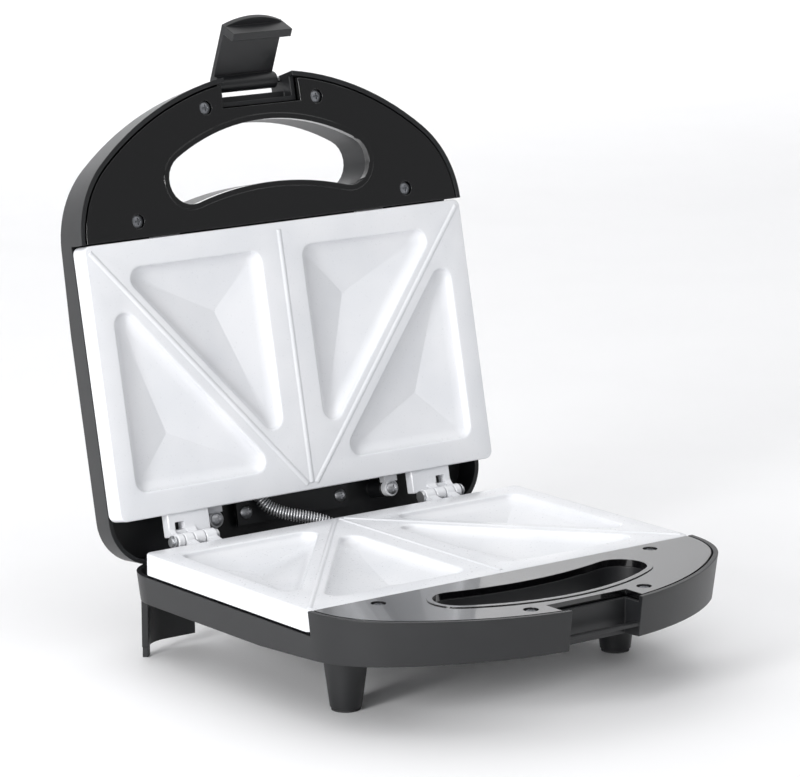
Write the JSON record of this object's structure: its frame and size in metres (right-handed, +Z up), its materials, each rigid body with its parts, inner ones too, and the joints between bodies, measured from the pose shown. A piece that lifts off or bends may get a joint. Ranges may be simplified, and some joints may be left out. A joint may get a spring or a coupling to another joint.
{
  "type": "sandwich toaster",
  "caption": "Countertop sandwich toaster with two hinged halves, pale cast plates with triangular pockets, looped handles, a rocking latch and a sprung wire conduit.",
  "frame": {"origin": "on the table, at the middle of the open part's width and depth", "axes": "+Z up, -Y towards the front handle, +X to the user's right"},
  "size_m": [0.222, 0.2786, 0.2878],
  "materials": {
    "black_satin_plastic": "satin black moulded plastic",
    "black_gloss_plastic": "gloss black moulded plastic",
    "coated_cast_plate": "pale grey non-stick coating on die-cast aluminium",
    "dark_screws": "black coated steel",
    "bright_screws": "bright plated steel",
    "heater_sheath": "heat tinted steel tube",
    "dark_pressed_steel": "black coated pressed steel",
    "zinc_steel": "bright zinc plated steel",
    "bright_sheet": "bright rolled sheet",
    "white_ceramic": "glazed ceramic",
    "ivory_plastic": "ivory moulded plastic",
    "black_rubber": "matt black rubber",
    "red_lamp": "clear red lens",
    "green_lamp": "clear green lens"
  },
  "bodies": {
    "base": {"base_housing": "black_satin_plastic", "base_handle_cover": "black_gloss_plastic", "base_cover_screws": "dark_screws", "lower_plate": "coated_cast_plate", "lower_plate_screws": "bright_screws", "lower_heater": "heater_sheath", "lower_heater_clips": "zinc_steel", "lower_reflector": "bright_sheet", "lower_bracket": "dark_pressed_steel", "lower_bracket_screws": "bright_screws", "thermostat": "zinc_steel", "thermal_fuse": "white_ceramic", "terminal_block": "ivory_plastic", "foot_pads": "black_rubber", "cord_inlet_bush": "black_rubber", "lower_ferrule": "zinc_steel", "conduit_spring": "zinc_steel", "hinge_pin_left": "zinc_steel", "hinge_pin_right": "zinc_steel", "hinge_pin_clips": "zinc_steel"},
    "lid": {"lid_housing": "black_satin_plastic", "lid_handle_cover": "black_gloss_plastic", "lid_cover_screws": "dark_screws", "upper_plate": "coated_cast_plate", "upper_plate_screws": "bright_screws", "upper_heater": "heater_sheath", "upper_heater_clips": "zinc_steel", "upper_reflector": "bright_sheet", "upper_bracket": "dark_pressed_steel", "upper_bracket_screws": "bright_screws", "upper_ferrule": "zinc_steel", "power_lamp": "red_lamp", "ready_lamp": "green_lamp", "latch_pin": "zinc_steel"},
    "latch": {"latch": "black_satin_plastic"}
  },
  "joints": [
    {"name": "lid_hinge", "type": "hinge", "parent": "base", "child": "lid", "pos_m": [0, 0.07381, 0.0522], "axis": [1, 0, 0], "range_deg": [0, 102.2], "deforming": ["conduit_spring"]},
    {"name": "latch_pivot", "type": "hinge", "parent": "lid", "child": "latch", "pos_m": [0, 0.13291, 0.25458], "axis": [1, 0, 0], "range_deg": [-57, 21]}
  ]
}
